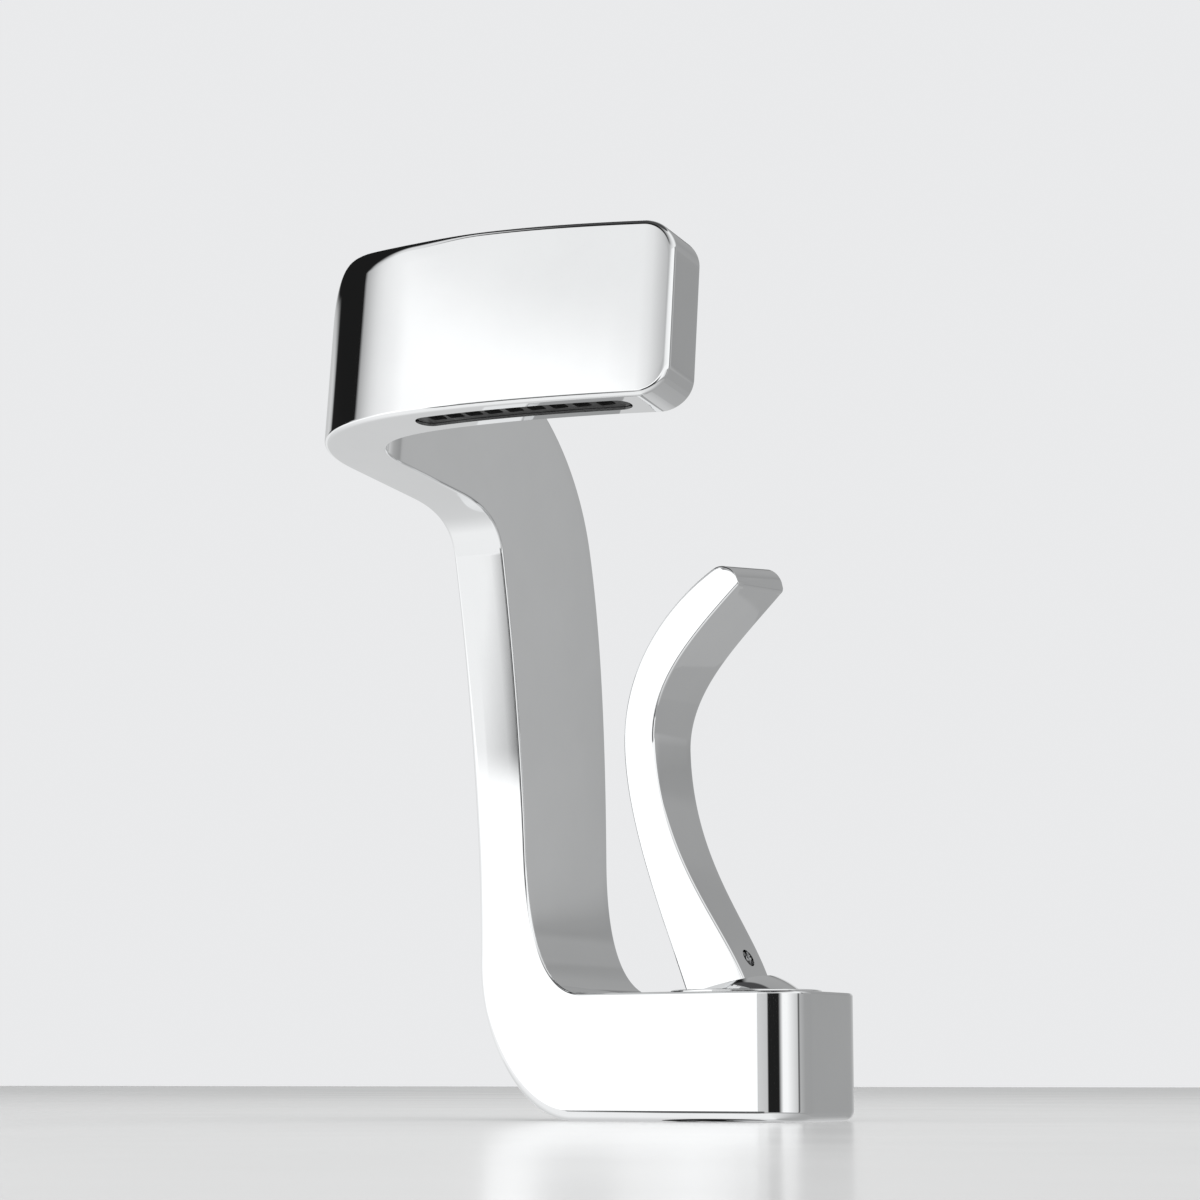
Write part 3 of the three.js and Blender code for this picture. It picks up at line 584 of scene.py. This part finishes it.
def ribbon():
    thick = even_edges(OUTER_EDGE, INNER_EDGE)
    fine = even_edges(SLAB_EDGE, INNER_EDGE)
    base_corner = (BASE_CORNER, np.array((1.0, 0, 0)), 0)
    slab_corner = (SLAB_CORNER, slab_direction(SLAB_END_T), SLAB_BEND)
    rows = RIBBON_ROWS

    def ring(place, edges):
        return ring_at(place, edges, RIBBON_EDGE_STEPS, **RIBBON_DIVISION)

    def rounded_end(place, corner, count, edges):
        return end_rings(place, corner, count, edges, RIBBON_EDGE_STEPS, **RIBBON_DIVISION)

    def column_edges(t):
        return even_edges(OUTER_EDGE + (SLAB_EDGE - OUTER_EDGE) * t, INNER_EDGE)

    start = BASE_END - BASE_CORNER
    base_end = rounded_end(base_station(start), base_corner, rows["base_corner"], thick)
    base = [ring(base_station(x), thick) for x in spread(rows["base"], start, BASE_FLAT_END)[1:-1]]
    bend = [ring(bend_station(t), thick) for t in spread(rows["bend"])]
    column = [ring(column_station(t), column_edges(t)) for t in spread(rows["column"])[1:]]
    sweep = [ring(upright_station(FRONT_SWEEP(t), BACK_SWEEP(t)), fine)
             for t in spread(rows["sweep"])[1:]]
    fold = [ring(arm_station(OUTER_FOLD(t), INNER_FOLD(t), fold_crown(t)), fold_edges(t))
            for t in spread(rows["fold"])]
    slab = [ring(slab_station(t), fold_edges(1 + t))
            for t in spread(rows["slab"], 0, SLAB_END_T)[1:]]
    slab_end = rounded_end(slab_station(SLAB_END_T), slab_corner, rows["slab_corner"], fine)
    return from_rings("body_shell",
                      base_end[::-1] + base + bend + column + sweep + fold + slab + slab_end[1:],
                      RIBBON_DIVISION["across"])


def slab_middle(t):
    return (OUTER_SLAB(t) + INNER_SLAB(t)) / 2


def outlet_outline():
    """Plan of the slot under the slab: a band along the slab's middle with round ends."""
    half = OUTLET["half"]

    def side(sign):
        points = []
        for t in spread(OUTLET_POINTS["side"], OUTLET["start"], OUTLET["end"]):
            direction = unit(slope(OUTER_SLAB, t))
            across = np.array((-direction[1], direction[0]))
            points.append(slab_middle(t) + across * sign * half)
        return points

    def cap(t, start):
        tangent = slope(OUTER_SLAB, t)
        heading = math.atan2(tangent[1], tangent[0])
        angles = [heading + start + math.pi * k for k in spread(OUTLET_POINTS["cap"])[1:-1]]
        return [slab_middle(t) + half * np.array((math.cos(a), math.sin(a))) for a in angles]

    return (side(-1) + cap(OUTLET["end"], -math.pi / 2)
            + side(1)[::-1] + cap(OUTLET["start"], math.pi / 2))


ARM_ORIGIN = arm_point(0, 0, 0)
ALONG = arm_point(0, 1, 0) - ARM_ORIGIN
UP = arm_point(0, 0, 1) - ARM_ORIGIN
ARM_FRAME = Matrix.Translation(Vector(ARM_ORIGIN) * MM) @ Matrix([
    [1, 0, 0, 0],
    [0, ALONG[1], UP[1], 0],
    [0, ALONG[2], UP[2], 0],
    [0, 0, 0, 1]])
LEVER_FRAME = (Matrix.Translation(Vector((AXIS_X, 0, PIVOT_Z)) * MM)
               @ Matrix.Rotation(CLOSED_LEAN, 4, "Y"))
SCREW_FRAME = (LEVER_FRAME @ Matrix.Translation(Vector((0, SCREW_Y, SCREW_HEIGHT)) * MM)
               @ Matrix.Rotation(math.pi / 2, 4, "Y"))
STEM_HOLE = rectangle(-STEM_HALF - GAP, STEM_HALF + GAP, STEM_HALF + GAP)


def body_shell():
    shell = ribbon()
    over = 1  # how far a tool stands past the face it cuts
    top = BASE_HEIGHT + over
    bore = [(0, FLOOR_Z), (BORE_R, FLOOR_Z), (BORE_R, NUT_BORE_Z), (NUT_BORE_R, NUT_BORE_Z),
            (NUT_BORE_R, top), (0, top)]
    cavity = [(x + AXIS_X, max(-CAVITY_HALF, min(CAVITY_HALF, y)))
              for x, y in circle(CAVITY_R, SIDES["cavity"])]
    wall = GASKET["wall"]
    outline = rounded_rectangle(GASKET["x"], GASKET["half_x"], GASKET["half_y"], GASKET["corner"])
    inner = rounded_rectangle(GASKET["x"], GASKET["half_x"] - wall, GASKET["half_y"] - wall,
                              GASKET["corner"] - wall)
    island = prism("island", inner, -2 * over, 3 * over)
    tools = [
        lathe("bore", bore, SIDES["bore"], AXIS_X),
        prism("cavity", cavity, CAVITY_Z, top),
        prism("ring_seat", circle(CAVITY_R, SIDES["cavity"], AXIS_X), RING_SEAT_Z, top + over),
        prism("slot", outlet_outline(), -4 * over, WIDTH / 2, ARM_FRAME),
        prism("stud_hole", circle(STUD["hole"], SIDES["stud_hole"], STUD["x"]), -over,
              STUD["depth"]),
        boolean(prism("groove", outline, -over, GASKET["depth"]), [island]),
    ]
    for y in (-INLET["y"], INLET["y"]):
        for name, radius, end in (("socket", INLET["socket"], INLET["depth"]),
                                  ("supply", INLET["bore"], FLOOR_Z + over)):
            tools.append(prism(name, circle(radius, SIDES[name], INLET["x"], y), -over, end))
    boolean(shell, tools)
    return finish_piece(shell, "body", "chrome", "body_casting")


# ---- ring, ball cap, lever ------------------------------------------------------------------
def bonnet_ring():
    clear = BALL_R + RING_CLEARANCE
    low = RING_SEAT_Z + GAP
    shoulder = RING_TOP - TRIM_EDGE
    profile = [(RING_R, low), (RING_R, shoulder)]
    profile += [(RING_R - TRIM_EDGE * (1 - math.cos(a)), RING_TOP - TRIM_EDGE * (1 - math.sin(a)))
                for a in spread(5, 0, math.pi / 2)[1:]]
    profile += [(math.sqrt(clear ** 2 - (z - PIVOT_Z) ** 2), z) for z in spread(12, RING_TOP, low)]
    return finish_piece(lathe("bonnet_trim", profile, SIDES["ring"], AXIS_X), "body", "chrome",
                        "bonnet_ring")


def dome(radius, flat):
    """Solid cap of a sphere round the pivot, cut off at a height above it."""
    top = math.asin(flat / radius)
    arc = [(radius * math.cos(a), radius * math.sin(a)) for a in spread(DOME_ROWS, 0, top)]
    return lathe("dome", [(0, 0)] + arc + [(0, flat)], SIDES["ball"], place=LEVER_FRAME)


def round_normals(mesh):
    """Normals straight from the pivot on the ball's outer and inner face, flat elsewhere."""
    pivot = LEVER_FRAME.translation
    nearly_radial = 0.985
    normals = []
    for face in mesh.polygons:
        outward = (face.center - pivot).normalized()
        sign = 1 if (face.center - pivot).length / MM > BALL_R - BALL_WALL / 2 else -1
        for index in face.vertices:
            if abs(face.normal.dot(outward)) > nearly_radial:
                normals.append(sign * (mesh.vertices[index].co - pivot).normalized())
            else:
                normals.append(face.normal)
    mesh.normals_split_custom_set([tuple(n) for n in normals])


def ball_cap():
    """Skirt of the ball, long enough in plan to cover the ring's opening over the whole tilt."""
    centre = BALL_R * math.sin(TILT_HALF) * math.cos(BALL_HOLE)
    radius = BALL_R * math.sin(BALL_HOLE)
    quarter = math.pi / 2
    outline = [(side * centre + radius * math.cos(a), radius * math.sin(a))
               for side, start in ((1, -quarter), (-1, quarter))
               for a in spread(CAP_HOLE_POINTS, start, start + math.pi)]
    hem = BALL_R * math.cos(TILT_HALF + BALL_HOLE) - BALL_HEM_DROP
    tilted = LEVER_FRAME @ Matrix.Rotation(-(CLOSED_LEAN + TILT_HALF), 4, "Y")
    above = 40  # higher than the ball
    cap = dome(BALL_R, BALL_FLAT)
    boolean(cap, [prism("trim", outline, hem, above, tilted)], "INTERSECT")
    boolean(cap, [dome(BALL_R - BALL_WALL, BALL_FLAT - BALL_WALL),
                  prism("stem_hole", STEM_HOLE, 0, above, LEVER_FRAME)])
    cap.name = "ball_cap_shell"
    finish_piece(cap, "lever", "chrome", "ball_cap", weighted=False)
    cap.data.shade_smooth()
    round_normals(cap.data)
    return cap


LEVER_LEFT = (bezier((12.5, 36.8), (5.5, 59), (-9.4, 93), (-9.4, 120)),
              bezier((-9.4, 120), (-9.4, 146), (8, 165), (25.5, 175.4)))
LEVER_RIGHT = (bezier((34.2, 38.5), (28.3, 60), (3.5, 80), (2, 120)),
               bezier((2, 120), (1.2, 139), (17, 153), (33.5, 168)))
LEVER_FRONT = bezier((0, -8.2), (0.35, -11), (0.65, -12.8), (1, -15))
LEVER_BACK = bezier((0, 9.2), (0.35, 13), (0.65, 14.4), (1, 17.2))
LEVER_TIP = bezier((25.5, 175.4), (28.2, 176.7), (32.2, 175.6), (33.7, 171.9))
LEVER_NOSE = bezier((33.5, 168), (34.1, 168.5), (34.7, 168.9), (34.5, 169.7))
TIP_RISE = (0.112, 0.07)  # per millimetre towards the back: left face, right face
TIP_RISE_POWER = 6
TIP_LEVEL_Y = -8.7
LEVER_EDGE = 0.9


def lever_section(left, right, share):
    """Station of the lever; its tip rises a little towards the back."""
    front, back = LEVER_FRONT(share)[1], LEVER_BACK(share)[1]
    return [np.array((x, y, z + rise * (y - TIP_LEVEL_Y) * share ** TIP_RISE_POWER))
            for (x, z), rise in zip((left, right), TIP_RISE) for y in (front, back)]


def lever():
    edges = even_edges(LEVER_EDGE, LEVER_EDGE)
    places = [lever_section(LEVER_LEFT[part](t), LEVER_RIGHT[part](t), (part + t) / 2)
              for part in (0, 1) for t in spread(LEVER_ROWS["blade"])[part:]]
    places += [lever_section(LEVER_TIP(t), LEVER_NOSE(t), 1) for t in spread(LEVER_ROWS["tip"])[1:]]
    rings = [ring_at(place, edges, LEVER_EDGE_STEPS, **LEVER_DIVISION) for place in places]
    obj = from_rings("lever_blade", rings, LEVER_DIVISION["across"])
    past = 40  # half of a cutting block, wider than the lever's foot
    boolean(obj, [
        prism("stem_socket", STEM_HOLE, 0, STEM_TOP + GAP, LEVER_FRAME),
        prism("under_flat", rectangle(-past, past, past), -30, BALL_FLAT + GAP, LEVER_FRAME),
        prism("under_ring", rectangle(-60, 80, past), 0, RING_TOP + FOOT_GAP),
        prism("screw_hole", circle(SCREW_R + GAP, SIDES["screw_hole"]), 0, past / 2, SCREW_FRAME),
    ])
    return finish_piece(obj, "lever", "chrome", "lever")


def set_screw():
    """Grub screw with a cut hex socket and a bevelled lead-in."""
    start, end, narrow = STEM_HALF + GAP, SCREW_END, SCREW_R - TRIM_EDGE
    profile = [(0, start), (narrow, start), (SCREW_R, start + TRIM_EDGE),
               (SCREW_R, end - TRIM_EDGE), (narrow, end), (0, end)]
    low, high = end - LEAD_IN["half"], end + LEAD_IN["half"]
    cone = [(0, low), (LEAD_IN["inner"], low), (LEAD_IN["outer"], high), (0, high)]
    obj = lathe("grub_screw", profile, SIDES["screw"], place=SCREW_FRAME)
    socket = prism("hex_socket", circle(HEX["r"], 6), end - HEX["depth"], end + 1, SCREW_FRAME)
    boolean(obj, [socket])
    boolean(obj, [lathe("lead_in", cone, SIDES["screw"], place=SCREW_FRAME)])
    return finish_piece(obj, "lever", "steel", "set_screw", material="dark_steel")


# ---- clamping set ---------------------------------------------------------------------------
def threaded_stud():
    """Stud with a real thread: crests at the CAD radius, roots cut inward, ends chamfered."""
    pitch, depth, sides = THREAD["pitch"], THREAD["depth"], SIDES["stud"]
    root = STUD["r"] - depth
    low, high = STUD["bottom"], STUD["depth"] - GAP
    rings = []
    for z in np.arange(low, high + 1e-6, pitch / THREAD_ROWS):
        chamfer = min(1.0, (z - low) / THREAD["chamfer"], (high - z) / THREAD["chamfer"])
        ring = []
        for k in range(sides):
            angle = 2 * math.pi * k / sides
            wave = abs(2 * ((z / pitch - k / sides) % 1.0) - 1)
            crest = min(1.0, max(0.0, (wave - THREAD["crest"]) / THREAD["flank"]))
            r = min(STUD["r"] - depth * (1 - crest), root + depth * max(0.0, chamfer))
            ring.append((STUD["x"] + r * math.cos(angle), r * math.sin(angle), z))
        rings.append(ring)
    return finish_piece(from_rings("stud_thread", rings), "body", "steel", "mounting_stud",
                        THREAD_SMOOTH_ANGLE)


# ---- stage ----------------------------------------------------------------------------------
# Places and sizes in metres; lens and sensor in millimetres.
FLOOR_HALF = 4.0
LENS = 90
SENSOR = 36
NEAR_CLIP = 0.01
CAMERA_PLACE = (0.4677435, -0.853467, 0.0129686)
CAMERA_PITCH = math.pi / 2 + 0.1585
CAMERA_BEARING = math.radians(30)
LIGHT_PLACE = (0.1, -0.2, 1.6)
LIGHT_SIDE = 1.6
LIGHT_POWER = 19


def floor():
    bm = bmesh.new()
    bmesh.ops.create_grid(bm, x_segments=8, y_segments=8, size=FLOOR_HALF)
    obj = make_object("floor", bm)
    m = Nodes("pale_floor")
    tint = m.ramp(m.noise(scale=3, detail=3), ((0.3, grey(0.88)), (0.7, grey(0.9))))
    m.link(tint, m.shader.inputs["Base Color"])
    patches = m.noise(scale=6, detail=2)
    m.link(m.span(patches, low=0.16, high=0.2), m.shader.inputs["Roughness"])
    obj.data.materials.append(m.material)
    obj.visible_glossy = False


def camera():
    data = bpy.data.cameras.new("camera")
    data.lens = LENS
    data.sensor_width = SENSOR
    data.clip_start = NEAR_CLIP
    obj = bpy.data.objects.new("camera", data)
    obj.location = CAMERA_PLACE
    obj.rotation_euler = (CAMERA_PITCH, 0, CAMERA_BEARING)
    bpy.context.scene.collection.objects.link(obj)
    bpy.context.scene.camera = obj


def overhead_light():
    """Soft light from above. Reflections show the studio below instead of the lamp."""
    data = bpy.data.lights.new("overhead", "AREA")
    data.shape = "RECTANGLE"
    data.size = data.size_y = LIGHT_SIDE
    data.energy = LIGHT_POWER
    obj = bpy.data.objects.new("overhead", data)
    obj.location = LIGHT_PLACE
    obj.rotation_euler = (-obj.location).to_track_quat("-Z", "Y").to_euler()
    obj.visible_glossy = False
    bpy.context.scene.collection.objects.link(obj)


# The studio that the chrome reflects, from the floor up. Each belt holds up to its first height in
# degrees above the horizon, and gives way to the next by the second. It lists brightness by bearing
# in degrees, from the front (-Y) towards the right (+X).
STUDIO = (
    ((-24, -23.7), (  # the deck
        (-180, 0.5), (-165, 0.6), (-150, 0.64), (-120, 0.7), (-90, 0.82), (-60, 0.95), (0, 0.95),
        (40, 0.75), (90, 0.5), (120, 0.42), (150, 0.41), (180, 0.44))),
    ((-15.5, -14), (  # the far deck, with a dark patch left of the front
        (-180, 0.39), (-165, 0.6), (-150, 0.64), (-120, 0.7), (-90, 0.82), (-60, 0.95),
        (-31.6, 0.95), (-31.2, 0.12), (-10, 0.12), (-5, 0.4), (0, 0.4), (60, 0.4), (120, 0.36),
        (150, 0.38), (180, 0.39))),
    ((-6.5, -5), (  # below the horizon, with the same patch and a dark strip right of the front
        (-180, 0.5), (-165, 0.55), (-150, 0.75), (-135, 0.85), (-92, 0.9), (-76, 1.0), (-60, 1.0),
        (-31.6, 0.98), (-31.2, 0.12), (-10, 0.12), (-5, 0.6), (3, 0.6), (6, 0.015), (36, 0.015),
        (42, 0.55), (48, 1.05), (60, 1.05), (74, 0.86), (93, 0.62), (95, 0.12), (98, 0.12),
        (101, 0.48), (120, 0.37), (150, 0.36), (168, 0.4), (180, 0.5))),
    ((2, 4.5), (  # the horizon
        (-180, 0.5), (-165, 0.55), (-150, 0.75), (-135, 0.85), (-92, 0.9), (-76, 1.1), (-60, 1.25),
        (-26.6, 1.25), (-26.2, 0.4), (-25, 0.68), (3, 0.6), (6, 0.015), (36, 0.015), (42, 0.55),
        (48, 1.05), (60, 1.05), (74, 0.86), (93, 0.62), (95, 0.12), (98, 0.12), (101, 0.48),
        (120, 0.37), (150, 0.36), (168, 0.4), (180, 0.5))),
    ((15.2, 18.2), (  # the lower walls: bright in front, dark at the left
        (-180, 0.6), (-165, 0.7), (-150, 0.65), (-139, 0.6), (-125, 0.6), (-119, 0.68),
        (-112, 0.55), (-108, 0.015), (-76, 0.015), (-73, 0.4), (-66, 0.6), (-58, 0.85),
        (-48, 1.25), (20, 1.2), (30, 1.0), (100, 1.1), (106, 0.7), (109, 0.06), (113, 0.06),
        (116, 0.42), (147, 0.46), (150, 0.44), (152.5, 0.32), (165, 0.4), (180, 0.6))),
    ((23.6, 26.2), (  # the upper walls
        (-180, 0.36), (-163, 0.3), (-151, 0.05), (-147, 0.012), (-73, 0.012), (-70.5, 0.43),
        (-65, 0.62), (-60, 0.78), (-55, 0.89), (-46, 1.0), (-40, 1.12), (-15, 1.2), (-9.5, 1.2),
        (-7.5, 1.08), (-5.5, 1.02), (-1.6, 0.88), (2.3, 0.68), (6, 0.5), (20, 0.6), (40, 0.9),
        (100, 1.1), (106, 0.7), (109, 0.06), (113, 0.06), (116, 0.38), (150, 0.38), (165, 0.36),
        (180, 0.36))),
    ((28.5, 33), (  # the walls' top
        (-180, 0.36), (-154, 0.38), (-148, 0.012), (-72, 0.012), (-68, 0.5), (-60, 0.78),
        (-50, 0.95), (-10, 0.92), (-7.5, 0.92), (-5.5, 0.91), (-1.6, 0.84), (2.3, 0.66), (6, 0.5),
        (20, 0.5), (40, 0.6), (70, 0.8), (100, 0.95), (125, 0.9), (150, 0.5), (165, 0.33),
        (180, 0.36))),
    ((59, 63), (  # the ceiling, dark in front and at the left
        (-180, 0.38), (-154, 0.4), (-148, 0.012), (-72, 0.012), (-64, 0.5), (-56, 0.8), (-42, 0.8),
        (-34, 0.2), (-28, 0.015), (16, 0.015), (30, 0.2), (47, 0.5), (70, 0.75), (100, 0.95),
        (125, 0.9), (150, 0.5), (165, 0.36), (180, 0.38))),
)
STUDIO_TINT = (0.99, 0.997, 1.0)
ZENITH = (0.07, 0.07, 0.072, 1)  # above the ceiling belt
WALL = (0.82, 0.825, 0.835, 1)


def world():
    """Studio seen in reflections; the camera itself sees one plain pale wall."""
    studio = bpy.data.worlds.new("studio")
    studio.use_nodes = True
    bpy.context.scene.world = studio
    tree = studio.node_tree
    tree.nodes.clear()

    def add(kind, **values):
        node = tree.nodes.new(kind)
        for key, value in values.items():
            setattr(node, key, value)
        return node

    def maths(operation, *sources):
        node = add("ShaderNodeMath", operation=operation)
        for socket, source in zip(node.inputs, sources):
            if isinstance(source, (int, float)):
                socket.default_value = source
            else:
                tree.links.new(source, socket)
        return node.outputs[0]

    def smooth_step(source, low, high):
        node = add("ShaderNodeMapRange", interpolation_type="SMOOTHSTEP")
        node.inputs["From Min"].default_value = low
        node.inputs["From Max"].default_value = high
        tree.links.new(source, node.inputs["Value"])
        return node.outputs["Result"]

    def belt(bearing, stops):
        node = add("ShaderNodeValToRGB")
        elements = node.color_ramp.elements
        while len(elements) < len(stops):
            elements.new(0.5)
        for element, (angle, value) in zip(elements, stops):
            element.position = angle / 360 + 0.5
            element.color = (*(value * tint for tint in STUDIO_TINT), 1)
        tree.links.new(bearing, node.inputs["Fac"])
        return node.outputs["Color"]

    def blend(share, first, second):
        node = add("ShaderNodeMix", data_type="RGBA")
        tree.links.new(share, node.inputs["Factor"])
        for socket, source in ((node.inputs["A"], first), (node.inputs["B"], second)):
            if isinstance(source, tuple):
                socket.default_value = source
            else:
                tree.links.new(source, socket)
        return node.outputs["Result"]

    split = add("ShaderNodeSeparateXYZ")
    tree.links.new(add("ShaderNodeTexCoord").outputs["Generated"], split.inputs[0])
    x, y, z = split.outputs
    turn = maths("DIVIDE", maths("ARCTAN2", x, maths("MULTIPLY", y, -1.0)), 2 * math.pi)
    bearing = maths("ADD", turn, 0.5)
    rise = maths("DEGREES", maths("ARCSINE", z))
    room = belt(bearing, STUDIO[0][1])
    for (span, _), (_, stops) in zip(STUDIO, STUDIO[1:]):
        room = blend(smooth_step(rise, *span), room, belt(bearing, stops))
    room = blend(smooth_step(rise, *STUDIO[-1][0]), room, ZENITH)
    reflected = add("ShaderNodeBackground")
    tree.links.new(room, reflected.inputs["Color"])
    wall = add("ShaderNodeBackground")
    wall.inputs["Color"].default_value = WALL
    both = add("ShaderNodeMixShader")
    tree.links.new(add("ShaderNodeLightPath").outputs["Is Camera Ray"], both.inputs[0])
    tree.links.new(reflected.outputs[0], both.inputs[1])
    tree.links.new(wall.outputs[0], both.inputs[2])
    tree.links.new(both.outputs[0], add("ShaderNodeOutputWorld").inputs["Surface"])


# ---- the scene ------------------------------------------------------------------------------
camera()
world()
floor()
overhead_light()
bpy.context.scene.view_settings.view_transform = "Standard"

body_shell()
bonnet_ring()
ball_cap()
lever()
set_screw()
threaded_stud()

# CAD nodes that stay as they are, by their finish.
CARRIED = {
    "black_rubber": ("base_gasket", "outlet_seal", "housing_seal", "inlet_seal_hot",
                     "inlet_seal_cold", "deck_washer"),
    "dark_plastic": ("outlet_insert",),
    "brass": ("retaining_nut", "clamp_nut", "lever_stem"),
    "white_plastic": ("cartridge_housing", "cartridge_base", "disc_carrier"),
    "ceramic": ("fixed_disc", "moving_disc"),
    "steel": ("clamp_plate", "pivot_pin"),
    "blue_plastic": ("cartridge_spindle",),
}
for finish_name, names in CARRIED.items():
    for node_name in names:
        node = frame["nodes"][node_name]
        node.data.materials.clear()
        node.data.materials.append(MATERIALS[finish_name])
